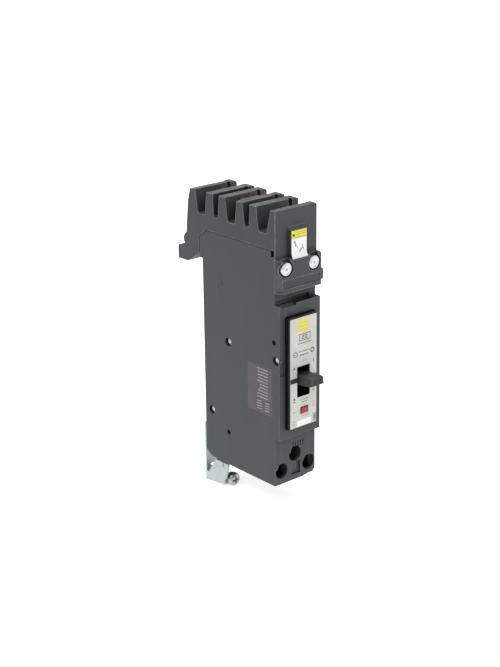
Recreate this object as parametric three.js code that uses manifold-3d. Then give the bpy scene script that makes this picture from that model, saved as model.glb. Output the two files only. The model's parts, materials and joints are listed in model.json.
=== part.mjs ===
// One-pole plug-on breaker with ground-fault protection, as an assembly of its separate pieces.
// Millimetres. X runs across the module, +Z towards the line end, and +Y towards the pan.
// The pieces are drawn by depth behind the lower front face, and the whole assembly is then moved
// so that the origin lies on the pan face of the mounting bracket, level with the load end.
import * as THREE from 'three';
import { mergeVertices } from 'three/addons/utils/BufferGeometryUtils.js';
import Module from 'manifold-3d';

const wasm = await Module();
wasm.setup();

// ---- driving dimensions ----
const HALF_WIDTH = 19.05;          // half of the 38.1 mm one-pole module
const CORE_HALF = 13;              // the middle case layer reaches this far to each side
const SEAM = 0.06;                 // half of the parting gap between two moulded layers
const FIT = 0.1;                   // gap between pieces that sit on each other
const WALL = 2.5;                  // moulded wall
const COVER_INNER = HALF_WIDTH - WALL;

const LOW_FRONT = 0;               // depths: lower front face of the case
const BLOCK_FRONT = -5;            // front of the raised middle block
const LABEL_FRONT = -8.5;          // front of the escutcheon
const CASE_BACK = 76.3;
const STEP_BACK = 79.3;            // the upper rear corner stands out this far
const PAN_FACE = 78.2;             // rear face of the bracket sheet
const SHEET = 1.6;                 // bracket sheet

const BLOCK_BOTTOM = 36.4;         // heights of the raised block
const BLOCK_TOP = 135;
const CASE_TOP = 173;
const HEAD_FLOOR = 173.5;
const FIN_TOP = 201;

const HANDLE = { y: 12, z: 78, tilt: 5.5 };
const SLOT = { half: 5.75, bottom: 67, top: 89.2 };
const BUTTON = { x: 0.8, z: 56.3, width: 6.5, height: 4.3 };
const ARM = { y: 28.8, z: 90 };
const LEVER = { y: 46, z: 72 };
const ARMATURE = { y: 58.5, z: 112 };
const HEAD_SCREW = { x: 12.7, z: 160.7, radius: 4.65 };
const PAN_SCREW = { x: -12, z: -15 };
const TERMINALS = [
  { name: 'load_power', x: 12.7, z: 10 },
  { name: 'load_neutral', x: -12.7, z: 10 },
  { name: 'panel_neutral', x: 0, z: 20 },
];
const ACCESS_RADIUS = 5.75;        // round screw-access holes at the load end
const WIRE = { y: 21.3, radius: 3.4 };
const RIVETS = [
  { name: 'case_rivet_middle', y: 49.4, z: 95.6 },
  { name: 'case_rivet_front', y: -1.3, z: 95.2 },
  { name: 'case_rivet_rear', y: 69, z: 37.9 },
];
const RIVET = { pocket: 3.3, depth: 2.8, head: 3, hole: 1.75, shank: 1.6 };
const BRACKET_RIVETS = [{ name: 'bracket_rivet_left', x: -8 }, { name: 'bracket_rivet_right', x: 8 }];
const BRACKET_RIVET_Z = 17;

// ---- solids and booleans ----
function toSolid(geometry) {
  geometry.deleteAttribute('normal');
  geometry.deleteAttribute('uv');
  const merged = mergeVertices(geometry, 1e-4);
  return new wasm.Manifold(new wasm.Mesh({
    numProp: 3,
    vertProperties: Float32Array.from(merged.attributes.position.array),
    triVerts: Uint32Array.from(merged.index.array),
  }));
}

function toGeometry(solid) {
  const mesh = solid.getMesh();
  const geometry = new THREE.BufferGeometry();
  geometry.setAttribute('position', new THREE.BufferAttribute(mesh.vertProperties, 3));
  geometry.setIndex(new THREE.BufferAttribute(mesh.triVerts, 1));
  return geometry;
}

// An outline drawn in a plane, pulled along the plane's normal. For 'x' the outline's points are
// (y, z), for 'z' they are (x, y), and for 'y' they are (x, z).
const X = new THREE.Vector3(1, 0, 0);
const Y = new THREE.Vector3(0, 1, 0);
const Z = new THREE.Vector3(0, 0, 1);
const FRAMES = { x: [Y, Z, X], y: [Z, X, Y], z: [X, Y, Z] };

function shapeFrom(points, axis) {
  const turned = axis === 'y' ? points.map(([a, b]) => [b, a]) : points;
  return new THREE.Shape(turned.map(([u, v]) => new THREE.Vector2(u, v)));
}

function pull(points, axis, from, to) {
  const geometry = new THREE.ExtrudeGeometry(shapeFrom(points, axis), { depth: to - from, bevelEnabled: false });
  geometry.translate(0, 0, from);
  geometry.applyMatrix4(new THREE.Matrix4().makeBasis(...FRAMES[axis]));
  return toSolid(geometry);
}

function block([x0, x1], [y0, y1], [z0, z1]) {
  const geometry = new THREE.BoxGeometry(x1 - x0, y1 - y0, z1 - z0);
  geometry.translate((x0 + x1) / 2, (y0 + y1) / 2, (z0 + z1) / 2);
  return toSolid(geometry);
}

// A turned piece: the profile's points are (radius, distance along the axis).
function turned(profile, axis, centre, segments = 24) {
  const geometry = new THREE.LatheGeometry(profile.map(([r, d]) => new THREE.Vector2(r, d)), segments);
  if (axis === 'x') geometry.rotateZ(-Math.PI / 2);
  if (axis === 'z') geometry.rotateX(Math.PI / 2);
  geometry.translate(...centre);
  return toSolid(geometry);
}

function rod(radius, axis, centre, from, to, segments = 24) {
  return turned([[0, from], [radius, from], [radius, to], [0, to]], axis, centre, segments);
}

function tube(outer, inner, axis, centre, from, to, segments = 24) {
  const profile = [[inner, from], [outer, from], [outer, to], [inner, to], [inner, from]];
  return turned(profile, axis, centre, segments);
}

function arcPoints(cx, cy, radius, fromDeg, toDeg, steps) {
  return Array.from({ length: steps + 1 }, (_, i) => {
    const a = THREE.MathUtils.degToRad(fromDeg + ((toDeg - fromDeg) * i) / steps);
    return [cx + radius * Math.cos(a), cy + radius * Math.sin(a)];
  });
}

function roundedBox([x0, x1], [z0, z1], radius, steps = 4) {
  return [
    ...arcPoints(x1 - radius, z1 - radius, radius, 0, 90, steps),
    ...arcPoints(x0 + radius, z1 - radius, radius, 90, 180, steps),
    ...arcPoints(x0 + radius, z0 + radius, radius, 180, 270, steps),
    ...arcPoints(x1 - radius, z0 + radius, radius, 270, 360, steps),
  ];
}

function wire(points, radius, steps, sides = 8) {
  const curve = new THREE.CatmullRomCurve3(points.map((p) => new THREE.Vector3(...p)));
  const section = new THREE.Shape(arcPoints(0, 0, radius, 0, 360 - 360 / sides, sides - 1)
    .map(([u, v]) => new THREE.Vector2(u, v)));
  return toSolid(new THREE.ExtrudeGeometry(section, { steps, extrudePath: curve, bevelEnabled: false }));
}

const cut = (solid, ...tools) => tools.reduce((left, tool) => left.subtract(tool), solid);
const join = (solid, ...others) => others.reduce((sum, other) => sum.add(other), solid);

// ---- materials ----
const finish = (color, roughness, metalness = 0) => ({ color, roughness, metalness });
const PHENOLIC = finish(0x58585a, 0.55);
const GLOSS_BLACK = finish(0x161617, 0.2);
const COPPER = finish(0xb4704a, 0.35, 1);
const STEEL = finish(0xb8bcbe, 0.35, 1);
const ZINC = finish(0xb4bebc, 0.35, 1);
const SILVER = finish(0xd8d8d6, 0.3, 1);
const FIBRE = finish(0x8c8f94, 0.8);
const BOARD = finish(0x1f5c3a, 0.5);
const NYLON = finish(0xe4e0d2, 0.5);
const PAPER = finish(0xd7d7d0, 0.5);

const assembly = new THREE.Group();
assembly.position.y = -PAN_FACE;

function piece(name, solid, look) {
  const mesh = new THREE.Mesh(toGeometry(solid), new THREE.MeshStandardMaterial(look));
  mesh.name = name;
  assembly.add(mesh);
}

// ---- case ----
// Side outline of the case, from the lower front corner round to the load end.
function caseOutline() {
  const corner = [[CASE_BACK, 7], [75.6, 4.8], [73.5, 2.4], [69.9, 0.7], [61.5, 0]].map(([y, z]) => new THREE.Vector2(y, z));
  const sweep = new THREE.SplineCurve(corner).getPoints(12).map(({ x, y }) => [x, Math.max(0, y)]);
  return [
    [LOW_FRONT, 0], [LOW_FRONT, BLOCK_BOTTOM], [BLOCK_FRONT, BLOCK_BOTTOM], [BLOCK_FRONT, BLOCK_TOP],
    [LOW_FRONT, BLOCK_TOP], [LOW_FRONT, 169], [3.2, 169], [3.2, CASE_TOP], [71.5, CASE_TOP],
    [STEP_BACK, 166.8], [STEP_BACK, 152], [CASE_BACK, 152], ...sweep,
  ];
}

function cavityOutline() {
  const w = WALL;
  return [
    [w, w], [w, BLOCK_BOTTOM + w], [BLOCK_FRONT + w, BLOCK_BOTTOM + w], [BLOCK_FRONT + w, BLOCK_TOP - w - 1.5],
    [w, BLOCK_TOP - w - 1.5], [w, 165.5], [5.7, CASE_TOP - w], [70.6, CASE_TOP - w],
    [STEP_BACK - w, 165.6], [STEP_BACK - w, 154.5], [CASE_BACK - w, 154.5], [CASE_BACK - w, 8],
    [70, 3.6], [61, w],
  ];
}

// Everything that is cut through more than one moulded layer.
function sharedCuts() {
  const cuts = [];
  for (const { x, z } of TERMINALS) {
    cuts.push(rod(ACCESS_RADIUS, 'y', [x, 0, z], -1, WALL + 1, 28));
    cuts.push(rod(WIRE.radius, 'z', [x, WIRE.y, 0], -1, WALL + 1, 16));
  }
  for (const side of [-1, 1]) {
    cuts.push(rod(2.2, 'y', [side * HEAD_SCREW.x, 0, HEAD_SCREW.z], -1, WALL + 1, 16));
  }
  // the seat of the escutcheon, and the notch under the right-hand wire entry
  cuts.push(block([-13.7, 13.7], [BLOCK_FRONT - 1, BLOCK_FRONT + 0.9], [42.8, 126.7]));
  cuts.push(pull([[8.3, -1], [19.2, -1], [19.2, 2.4], [15, 2.2], [11.5, 0.7], [8.3, 0.4]], 'y', -1, 1.6));
  // the finger recess in the block's upper edge
  cuts.push(pull([[-7, 132.6], [-3.4, 133.8], [1, 137.4], [-7, 137.4]], 'x', -17.2, -3.3));
  return cuts;
}

function caseFrame() {
  const half = CORE_HALF - SEAM;
  const ring = cut(pull(caseOutline(), 'x', -half, half), pull(cavityOutline(), 'x', -half - 1, half + 1));
  const partitions = [-1, 1].map((side) => {
    const x = side * 6.6;
    return block([x - 0.6, x + 0.6], [WALL - 0.5, 30], [WALL - 0.5, 28]);
  });
  const shelf = block([-half, half], [WALL - 0.5, 31], [28.5, 30]);
  const body = join(ring, ...partitions, shelf);
  const cuts = [
    block([-SLOT.half, SLOT.half], [-6, WALL], [SLOT.bottom, SLOT.top]),
    block([BUTTON.x - 2.6, BUTTON.x + 2.6], [-6, 0], [BUTTON.z - 1.6, BUTTON.z + 1.6]),
    block([-8.6, 8.6], [41, 47.2], [CASE_TOP - 5, CASE_TOP + 1]),
    block([-3.3, 12.8], [BLOCK_FRONT + 1.2, 0], [131.9, 136]),
    block([-3.3, 12.8], [-1, 1.3], [134, 138.3]),
    block([-3.6, 4.9], [-1, 1.4], [4, 9]),
    block([0.6, 4.9], [-1, 1.4], [8.9, 14]),
    ...Array.from({ length: 5 }, (_, i) => block([-3 + i * 2.4, -1.4 + i * 2.4], [-1, 0.5], [25, 29.5])),
    ...BRACKET_RIVETS.map(({ x }) => rod(2.25, 'y', [x, 0, BRACKET_RIVET_Z], CASE_BACK - 4, CASE_BACK + 1, 16)),
    ...RIVETS.map(({ y, z }) => rod(RIVET.hole, 'x', [0, y, z], -half - 1, half + 1, 12)),
  ];
  return cut(body, ...cuts, ...sharedCuts());
}

// side is -1 for the left cover and 1 for the right one
function cover(side) {
  const across = (a, b) => [Math.min(side * a, side * b), Math.max(side * a, side * b)];
  const [x0, x1] = across(CORE_HALF + SEAM, HALF_WIDTH);
  const [c0, c1] = across(CORE_HALF - 1, COVER_INNER);
  const bosses = [
    ...RIVETS.map(({ y, z }) => rod(5, 'x', [0, y, z], c0, c1, 12)),
    ...[HANDLE, ARM, LEVER, ARMATURE].map(({ y, z }) => tube(3.6, 1.6, 'x', [0, y, z], ...across(14.6, COVER_INNER + 1), 12)),
  ];
  let body = cut(pull(caseOutline(), 'x', x0, x1), cut(pull(cavityOutline(), 'x', c0, c1), ...bosses));
  const pocket = across(HALF_WIDTH - RIVET.depth, HALF_WIDTH + 1);
  for (const { y, z } of RIVETS) {
    const hole = rod(RIVET.hole, 'x', [0, y, z], x0 - 1, x1 + 1, 12);
    body = cut(body, rod(RIVET.pocket, 'x', [0, y, z], ...pocket, 20), hole);
  }
  const shallow = (depth) => across(HALF_WIDTH - depth, HALF_WIDTH + 1);
  body = cut(body, rod(2, 'x', [0, 0.4, 108.1], ...shallow(2), 16), rod(2, 'x', [0, 50.2, 25.8], ...shallow(2), 16));
  body = cut(body, tube(2.9, 2.3, 'x', [0, 57, 136.3], ...shallow(0.25), 20));
  if (side < 0) {
    body = cut(body, block(shallow(0.25), [3, 29], [51.7, 87.5]));
    body = cut(body, block([-18, -14], [BLOCK_FRONT - 1, BLOCK_FRONT + 0.7], [84, 95]));
  }
  return cut(body, ...sharedCuts());
}

// ---- line head ----
const BUS_SLOTS = [
  { top: [3.3, 17.9], bottom: [6.9, 15.8], floor: 184, radius: 2.2 },
  { top: [24.4, 32], bottom: [25.3, 30.1], floor: 184.7, radius: 2.3 },
  { top: [38, 50.7], bottom: [40, 48], floor: 184, radius: 2.2 },
  { top: [57, 63.7], bottom: [58.3, 63], floor: 184.7, radius: 2.3 },
  { top: [70.5, 83.2], bottom: [72.4, 80.7], floor: 184, radius: 2.2 },
];
const FIN_PADS = [[-1.24, 3.9], [17.2, 25], [31.4, 38.7], [50, 57.6], [63, 71.2], [82.5, 89.4]];

function headOutline() {
  const slots = BUS_SLOTS.flatMap(({ top, bottom, floor, radius }) => [
    [top[0], FIN_TOP],
    ...arcPoints(bottom[0] + radius, floor + radius, radius, 180, 270, 4),
    ...arcPoints(bottom[1] - radius, floor + radius, radius, 270, 360, 4),
    [top[1], FIN_TOP],
  ]);
  return [
    [-0.15, 143.6], [-6, 143.6], [-6, 166], [-5.3, 166.9], [-1.24, 167.4], [-1.24, FIN_TOP], ...slots,
    [88.9, 200.6], [91.6, 190.9], [94.1, 167.8], [96.6, 165.4], [97.6, 163], [97.2, 160.6], [95.8, 159.1],
    [96.8, 158.9], [104, 156.2], [104, 146.3], [93.3, 146.3], [85.2, 151.1], [79.9, 155.2],
    [79.9, 167.1], [71.8, HEAD_FLOOR], [-0.15, HEAD_FLOOR],
  ];
}

function lineHead() {
  const plain = pull(headOutline(), 'x', -HALF_WIDTH, HALF_WIDTH);
  const rib = pull([[-1, 188.6], [-3.7, 185.9], [-3.7, 170.1], [-4.3, 168.1], [-5.7, 166], [-1, 166]], 'x', -7, 7.6);
  const pads = FIN_PADS.map(([front, back]) => block([13.2, HALF_WIDTH], [front, back], [191, FIN_TOP]));
  const tab = pull(roundedBox([17, 21.4], [147, 155], 0.8, 2), 'y', -5.6, -1.6);
  const ribSeat = pull([[-7, 166], [-5.7, 166], [-4.3, 168.1], [-3.7, 170.1], [-7, 170.1]], 'x', -7, 7.6);
  let body = join(cut(plain, ribSeat), rib, ...pads, tab);
  for (const side of [-1, 1]) {
    const x = side * HEAD_SCREW.x;
    body = cut(
      body,
      rod(5.7, 'y', [x, 0, HEAD_SCREW.z], -7, -2.8, 24),
      block([x - 3.4, x + 3.4], [-7, -2.8], [HEAD_SCREW.z, 168]),
      rod(2.2, 'y', [x, 0, HEAD_SCREW.z], -3, 1, 16),
    );
  }
  // rounded left corner of the lip with its upright flutes, and the step above its lower rim
  const corner = [[-20, -7], [-14.6, -7], ...arcPoints(-14.6, -1.6, 4.45, 270, 180, 6), [-20, -1.6]];
  body = cut(body, pull(corner, 'z', 143, 166.9));
  for (const angle of [195, 215, 235, 255]) {
    const [[x, y]] = arcPoints(-14.6, -1.6, 4.45, angle, angle, 1);
    body = cut(body, rod(0.45, 'z', [x, y, 0], 147, 158, 8));
  }
  body = cut(body, pull([[-7, 147.2], [-5.55, 146.6], [-5.55, 152.5], [-7, 155]], 'x', -20, 18.4));
  // rounded upper right corners of the fins
  const crown = [[16.9, FIN_TOP + 1], [16.9, FIN_TOP], ...arcPoints(16.9, FIN_TOP - 2.2, 2.2, 90, 0, 4), [20.2, FIN_TOP - 2.2], [20.2, FIN_TOP + 1]];
  body = cut(body, pull(crown, 'y', -2, 92));
  // an upright groove beside each pad, on the face that looks forward
  body = cut(body, ...BUS_SLOTS.map(({ top }) => block([10.2, 13.2], [top[1] - 2.5, top[1] + 1.4], [188, FIN_TOP + 1])));
  // way through the floor of the middle slot for the jaws and the strap
  return cut(body, block([-8.6, 8.6], [40.9, 47.1], [HEAD_FLOOR - 1, 184.8]));
}

function headSticker() {
  return pull([
    [-3.78, 185.7], [-4, 185.7], [-4, 170.15], [-4.58, 168.22], [-5.78, 166.45], [-5.58, 166.32],
    [-4.38, 168.08], [-3.78, 170.08],
  ], 'x', -6.55, 7.15);
}

function headScrew(x) {
  const { radius, z } = HEAD_SCREW;
  const profile = [[0, -5.95], [radius - 0.4, -5.95], [radius, -5.6], [radius, -3], [2, -3], [2, 7], [0, 7]];
  return turned(profile, 'y', [x, 0, z], 20);
}

// ---- front plate and labels ----
function escutcheon() {
  const edge = 0.5;
  const plate = pull(roundedBox([-13, 13], [43.4, 126.1], 1.2), 'y', LABEL_FRONT + edge, BLOCK_FRONT + 0.8);
  const face = pull(roundedBox([-13 + edge, 13 - edge], [43.4 + edge, 126.1 - edge], 1), 'y', LABEL_FRONT, -7.5);
  return cut(
    join(plate, face),
    block([-SLOT.half, SLOT.half], [-10, 0], [SLOT.bottom, SLOT.top]),
    buttonHole(0.25, -10, 0),
  );
}

function buttonHole(clearance, from, to) {
  const w = BUTTON.width / 2 + clearance;
  const h = BUTTON.height / 2 + clearance;
  return pull(roundedBox([BUTTON.x - w, BUTTON.x + w], [BUTTON.z - h, BUTTON.z + h], 1, 3), 'y', from, to);
}

function ratingLabel() {
  const sheet = pull(roundedBox([-12.3, 12.3], [44.4, 125.1], 0.8, 3), 'y', LABEL_FRONT - 0.3, LABEL_FRONT - 0.08);
  return cut(
    sheet,
    block([-SLOT.half - 0.2, SLOT.half + 0.2], [-10, 0], [SLOT.bottom - 0.2, SLOT.top + 0.2]),
    buttonHole(0.5, -10, 0),
  );
}

// ---- handle, contact arm and trip parts: they turn about pins that run across the case ----
function pin(y, z) {
  return rod(1.5, 'x', [0, y, z], -16.4, 16.4, 16);
}

function toggleHandle() {
  const { y, z } = HANDLE;
  const hub = rod(7.6, 'x', [0, y, z], -8.5, 8.5, 20);
  const stem = pull([
    [y, z - 4.2], [-10, z - 3.6], [-21.5, z - 3.1], [-23.4, z - 2.5],
    [-23.4, z + 2.5], [-21.5, z + 3.1], [-10, z + 3.6], [y, z + 4.2],
  ], 'x', -5.4, 5.5);
  const apron = pull([
    ...arcPoints(y, z, 13.4, 138, 222, 8),
    ...arcPoints(y, z, 11.2, 222, 138, 8),
  ], 'x', -8.5, 8.5);
  const cheeks = [-1, 1].map((side) => {
    const x = side * 7.5;
    return pull([[y, z - 6], ...arcPoints(y, z, 12, 222, 138, 6), [y, z + 6]], 'x', x - 1, x + 1);
  });
  const leg = pull([[y, z - 4], [y + 12.5, z + 4.5], [y + 12.5, z + 8], [y + 10, z + 8.5], [y, z + 5]], 'x', -6.4, -4.2);
  let body = join(hub, stem, apron, ...cheeks, leg);
  body = body.translate([0, -y, -z]).rotate([-HANDLE.tilt, 0, 0]).translate([0, y, z]);
  return cut(body, rod(1.56, 'x', [0, y, z], -20, 20, 16));
}

function contactArm() {
  const { y, z } = ARM;
  const blade = pull([
    ...arcPoints(y, z, 5, 200, 340, 6), [y + 4.6, z + 8], [y + 3.1, z + 24], [y + 3.1, z + 45.4],
    [y + 1, z + 46.4], [y - 0.4, z + 45], [y - 1.4, z + 24], [y - 4.8, z + 8],
  ], 'x', -2.4, 2.4);
  return cut(join(blade, rod(5, 'x', [0, y, z], -3.6, 3.6, 20)), rod(1.56, 'x', [0, y, z], -5, 5, 16));
}

function tripLever() {
  const { y, z } = LEVER;
  const blade = pull([
    [y - 2.2, z - 15], [y + 1.4, z - 15], [y + 3.6, z], [y + 2, z + 4], [y - 6, z + 15], [y - 8.2, z + 14], [y - 3.6, z],
  ], 'x', -2.6, 2.6);
  return cut(join(blade, rod(3.8, 'x', [0, y, z], -4, 4, 20)), rod(1.56, 'x', [0, y, z], -6, 6, 16));
}

function armature() {
  const { y, z } = ARMATURE;
  const plate = pull([[y - 1.1, z - 22], [y + 0.7, z - 22], [y + 1.4, z - 2], [y + 1.4, z + 2], [y - 1.4, z + 2]], 'x', -4.6, 4.6);
  return cut(join(plate, rod(2.9, 'x', [0, y, z], -4.6, 4.6, 16)), rod(1.56, 'x', [0, y, z], -7, 7, 16));
}

function bimetal() {
  const strip = block([-4, 4], [64.4, 65.6], [84, 121]);
  const yoke = block([-5.5, 5.5], [65.6, 68.4], [106, 126]);
  return join(strip, yoke);
}

function coilSpring(axisPoint, direction, { coil, wireRadius, turns, length }) {
  const steps = turns * 8;
  const points = Array.from({ length: steps + 1 }, (_, i) => {
    const a = (i / 8) * 2 * Math.PI;
    return new THREE.Vector3(coil * Math.cos(a), coil * Math.sin(a), (length * i) / steps);
  });
  const turn = new THREE.Quaternion().setFromUnitVectors(Z, new THREE.Vector3(...direction).normalize());
  const placed = points.map((p) => p.applyQuaternion(turn).add(new THREE.Vector3(...axisPoint)).toArray());
  return wire(placed, wireRadius, steps, 5);
}

// ---- current path ----
function jaw(side) {
  const at = (offset) => 44 + side * offset;
  const outline = [[1.3, 175], [2.7, 175], [2.7, 185], [1.9, 193], [3.4, 198.5], [2.1, 199], [0.6, 193], [1.3, 185]];
  return pull(outline.map(([offset, z]) => [at(offset), z]), 'x', -8, 8);
}

function jawSpring(side) {
  const at = (offset) => 44 + side * offset;
  const outline = [[3.35, 186.4], [3.75, 186.4], [3.1, 192.6], [4, 196], [3.6, 196.1], [2.7, 192.6]];
  return pull(outline.map(([offset, z]) => [at(offset), z]), 'x', -4, 4);
}

function splitterPlate(y) {
  const outline = [[-9, 137], [-3.4, 137], [-3.4, 140], ...arcPoints(0, 140, 3.4, 180, 0, 6), [3.4, 137], [9, 137], [9, 152], [-9, 152]];
  return pull(outline, 'y', y, y + 1.2);
}

// ---- terminals ----
function lug({ x, z }) {
  const body = block([x - 3.75, x + 3.75], [10, 26.5], [z - 5, z + 5]);
  return cut(body, block([x - 2.7, x + 2.7], [12.4, 24], [z - 6, z + 6]), rod(2.15, 'y', [x, 0, z], 9, 13, 16));
}

function terminalScrew({ x, z }) {
  const slot = block([x - 0.5, x + 0.5], [6, 8], [z - 4, z + 4]);
  const body = [[0, 6.9], [3.1, 6.9], [3.4, 7.2], [3.4, 9.8], [2, 9.8], [2, 18], [1.4, 18.6], [0, 18.6]];
  return cut(turned(body, 'y', [x, 0, z], 16), slot);
}

function wireClamp({ x, z }) {
  return cut(block([x - 2.5, x + 2.5], [13, 14.5], [z - 4, z + 4]), rod(2.08, 'y', [x, 0, z], 12, 16, 16));
}

// ---- ground-fault parts ----
function sensorToroid() {
  return tube(10, 4, 'z', [0, 38, 0], 31.8, 39.6, 20);
}

function circuitBoard() {
  const parts = [
    block([7.6, 9.6], [12, 20], [46, 54]), block([6.4, 9.6], [24, 30], [47, 53]),
    rod(2.6, 'x', [0, 35, 50], 3.4, 9.6, 16), block([8.4, 9.6], [24, 32], [56, 61]),
    block([5.2, 9.6], [6.5, 9.5], [53.2, 59.2]),
  ];
  return join(block([9.5, 11], [6, 44], [42.5, 63.5]), ...parts);
}

function solenoidFrame() {
  const outer = block([-6.2, 6.2], [49.6, 68], [50.6, 65]);
  return cut(outer, block([-7, 7], [51.2, 66.4], [52, 66]), rod(2, 'y', [0, 0, 58], 48, 70, 16));
}

function testButton() {
  const w = BUTTON.width / 2;
  const h = BUTTON.height / 2;
  const { x, z } = BUTTON;
  const cap = pull(roundedBox([x - w, x + w], [z - h, z + h], 0.9, 3), 'y', -9.6, -5.6);
  const crown = pull(roundedBox([x - w + 0.5, x + w - 0.5], [z - h + 0.5, z + h - 0.5], 0.7, 3), 'y', -10, -9.5);
  return join(cap, crown, block([x - 2.3, x + 2.3], [-6, -1.5], [z - 1.35, z + 1.35]), block([x - 3.6, x + 3.6], [-2.35, -0.95], [z - 2.6, z + 2.6]));
}

// ---- pan bracket ----
function panBracket() {
  const front = PAN_FACE - SHEET;
  const plate = pull([[-19, -20.9], [-16.4, -20.9], [-16.4, -10.5], [-14.9, -9], [19, -9], [19, 25.3], [-19, 25.3]], 'y', front, PAN_FACE);
  const gusset = pull([
    [front + 0.4, -20.9], [59.4, -18.5], [54.4, -13], [54.2, -11.4], [51.8, -0.8], [66, -0.8], [74.4, -13.6], [front + 0.4, -13.6],
  ], 'x', -19, -19 + SHEET);
  const bead = pull([[57.5, -0.8], [58.9, -0.8], [58.9, -3.6], [69, -9.6], [68.2, -10.6], [57.5, -4.4]], 'x', -19.5, -18.5);
  const tab = pull([[-19, -18.3], [-12, -19.4], ...arcPoints(-12, -15, 4.4, 270, 450, 8), [-19, -11.4]], 'y', 56.4, 56.4 + SHEET);
  return cut(
    join(plate, gusset, bead, tab),
    rod(2.7, 'y', [PAN_SCREW.x, 0, PAN_SCREW.z], 50, 60, 20),
    ...BRACKET_RIVETS.map(({ x }) => rod(2.25, 'y', [x, 0, BRACKET_RIVET_Z], front - 1, PAN_FACE + 1, 16)),
  );
}

function mountingScrew() {
  const centre = [PAN_SCREW.x, 0, PAN_SCREW.z];
  const body = turned([
    [0, 51.2], [2.6, 51.4], [4.3, 52.1], [5.1, 53.4], [5.1, 56], [2.4, 56], [2.4, 82.6], [1.6, 84], [0, 84],
  ], 'y', centre, 20);
  const { x, z } = PAN_SCREW;
  const cross = [block([x - 0.6, x + 0.6], [50, 53.4], [z - 2.9, z + 2.9]), block([x - 2.9, x + 2.9], [50, 53.4], [z - 0.6, z + 0.6])];
  return cut(body, ...cross);
}

function rivet({ y, z }) {
  const { head, shank, depth } = RIVET;
  const floor = HALF_WIDTH - depth + 0.05;
  const dome = (side) => [[1.8, side * (floor + 0.9)], [head, side * (floor + 0.4)], [head, side * floor]];
  const profile = [
    [0, -(floor + 1)], ...dome(-1), [shank, -floor], [shank, floor], ...dome(1).reverse(), [0, floor + 1],
  ];
  return turned(profile, 'x', [0, y, z], 12);
}

// ---- assembly ----
piece('case_frame', caseFrame(), PHENOLIC);
piece('left_cover', cover(-1), PHENOLIC);
piece('right_cover', cover(1), PHENOLIC);
piece('line_head', lineHead(), PHENOLIC);
piece('escutcheon', escutcheon(), GLOSS_BLACK);
piece('rating_label', ratingLabel(), PAPER);
piece('head_sticker', headSticker(), PAPER);
piece('side_label', block([-18.98, -18.84], [3.1, 28.9], [51.8, 87.4]), GLOSS_BLACK);
piece('head_screw_left', headScrew(-HEAD_SCREW.x), ZINC);
piece('head_screw_right', headScrew(HEAD_SCREW.x), ZINC);
RIVETS.forEach((place) => piece(place.name, rivet(place), STEEL));
piece('pan_bracket', panBracket(), ZINC);
BRACKET_RIVETS.forEach(({ name, x }) => {
  piece(name, turned([[0, 71.6], [3.2, 71.6], [3.2, 73.7], [2.15, 73.7], [2.15, 78], [0, 78]], 'y', [x, 0, BRACKET_RIVET_Z], 16), STEEL);
});
piece('mounting_screw', mountingScrew(), ZINC);
piece('screw_retainer', tube(4.4, 2.47, 'y', [PAN_SCREW.x, 0, PAN_SCREW.z], 65, 66.4, 20), NYLON);

piece('jaw_front', jaw(-1), COPPER);
piece('jaw_rear', jaw(1), COPPER);
piece('jaw_spring_front', jawSpring(-1), STEEL);
piece('jaw_spring_rear', jawSpring(1), STEEL);
piece('line_strap', block([-6, 6], [43, 45], [127, 183]), COPPER);
piece('fixed_contact', rod(3.2, 'y', [0, 0, ARM.z + 42], 41.3, 42.95, 16), SILVER);
[-1, 1].forEach((side) => {
  const x = side * 9.9;
  piece(side < 0 ? 'arc_side_left' : 'arc_side_right', block([x - 0.6, x + 0.6], [24, 42.6], [135, 154]), FIBRE);
});
[25.6, 30, 34.4, 38.8].forEach((y, i) => piece(`arc_plate_${i + 1}`, splitterPlate(y), STEEL));

for (const terminal of TERMINALS) {
  piece(`${terminal.name}_lug`, lug(terminal), COPPER);
  piece(`${terminal.name}_screw`, terminalScrew(terminal), ZINC);
  piece(`${terminal.name}_clamp`, wireClamp(terminal), STEEL);
}

piece('toggle_handle', toggleHandle(), PHENOLIC);
piece('handle_pin', pin(HANDLE.y, HANDLE.z), STEEL);
piece('contact_arm', contactArm(), COPPER);
piece('contact_arm_pin', pin(ARM.y, ARM.z), STEEL);
piece('moving_contact', rod(3, 'y', [0, ARM.y, ARM.z + 42], 3.15, 4.6, 16), SILVER);
piece('operating_spring', coilSpring([-6, 24.6, 88.6], [0, 0.12, 1], { coil: 1.7, wireRadius: 0.35, turns: 5, length: 15 }), STEEL);
piece('trip_lever', tripLever(), STEEL);
piece('trip_lever_pin', pin(LEVER.y, LEVER.z), STEEL);
piece('armature', armature(), STEEL);
piece('armature_pin', pin(ARMATURE.y, ARMATURE.z), STEEL);
piece('bimetal', bimetal(), STEEL);
piece('flexible_braid', wire([[3.4, 36.4, 86.4], [8, 40, 82.5], [9, 50, 82], [7.6, 57, 84.5], [3.6, 62.4, 87.2]], 1.5, 12, 6), COPPER);
piece('load_lead', wire([
  [5.8, 65, 88], [9.5, 65.5, 84], [12.8, 64, 72], [12.8, 60, 54], [9, 52, 43.5], [3, 42, 44.5],
  [1.9, 38.2, 40], [1.9, 38, 32], [5.5, 36.5, 26], [12.7, 30, 14],
], 1.4, 22, 6), COPPER);
piece('neutral_lead', wire([
  [-12.7, 30, 14], [-5.5, 36.5, 26], [-1.9, 38, 32], [-1.9, 38.2, 40], [-4, 42, 45],
  [-11, 47, 44], [-13, 51, 34], [-9, 48, 22], [-1, 36, 18.6], [0, 29.4, 18],
], 1.4, 22, 6), NYLON);
piece('sensor_toroid', sensorToroid(), FIBRE);
piece('circuit_board', circuitBoard(), BOARD);
piece('solenoid_frame', solenoidFrame(), STEEL);
piece('solenoid_coil', tube(5.4, 2.2, 'y', [0, 0, 58], 51.8, 65.8, 16), COPPER);
piece('solenoid_plunger', rod(1.7, 'y', [0, 0, 58], 48.2, 66, 16), STEEL);
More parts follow.
